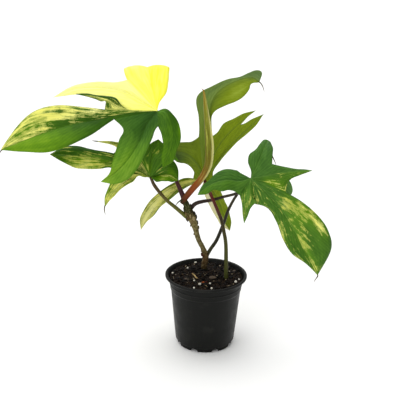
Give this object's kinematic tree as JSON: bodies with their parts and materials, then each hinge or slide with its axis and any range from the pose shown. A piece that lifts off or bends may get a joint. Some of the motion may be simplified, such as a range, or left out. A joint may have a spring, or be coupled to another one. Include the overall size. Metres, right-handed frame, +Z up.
{
  "type": "potted florida beauty philodendron",
  "caption": "Young climbing philodendron with deeply lobed, cream and yellow variegated leaves and a rolled new leaf, in a small round black nursery pot.",
  "frame": {"origin": "middle of the pot's flat underside", "axes": "+Z up; -Y is the side that the leaves show their faces to; +X is to the right seen from that side, along the widest spread of the leaves"},
  "size_m": [0.3904, 0.1428, 0.3564],
  "materials": {
    "pot_plastic": "satin moulded plastic",
    "potting_mix": "coarse damp potting mix",
    "bark_stem": "rough grey-olive bark",
    "dark_stalk": "smooth dark red-brown skin",
    "green_stalk": "smooth olive-green skin",
    "sheath": "waxy, red-brown at the base and tan above",
    "root": "dry dark skin",
    "leaf_a_blade": "waxy, green with a yellow and cream part",
    "leaf_b_blade": "dull olive-green underside",
    "leaf_c_blade": "waxy green with cream marbling",
    "leaf_d_blade": "waxy, mottled green and cream",
    "leaf_e_blade": "waxy grey-green",
    "perlite": "chalky",
    "bark_chip": "rough",
    "twig_wood": "dry"
  },
  "bodies": {
    "root": {"pot": "pot_plastic", "soil": "potting_mix", "main_stem": "bark_stem", "petiole_a": "dark_stalk", "petiole_b": "green_stalk", "petiole_c": "dark_stalk", "petiole_d": "green_stalk", "petiole_e": "dark_stalk", "new_leaf_sheath": "sheath", "aerial_root_left": "root", "aerial_root_right": "root", "leaf_a": "leaf_a_blade", "leaf_b": "leaf_b_blade", "leaf_c": "leaf_c_blade", "leaf_d": "leaf_d_blade", "leaf_e": "leaf_e_blade", "perlite_1": "perlite", "perlite_2": "perlite", "perlite_3": "perlite", "perlite_4": "perlite", "perlite_5": "perlite", "perlite_6": "perlite", "perlite_7": "perlite", "perlite_8": "perlite", "perlite_9": "perlite", "perlite_10": "perlite", "bark_chip_1": "bark_chip", "bark_chip_2": "bark_chip", "bark_chip_3": "bark_chip", "bark_chip_4": "bark_chip", "twig": "twig_wood"}
  },
  "joints": []
}
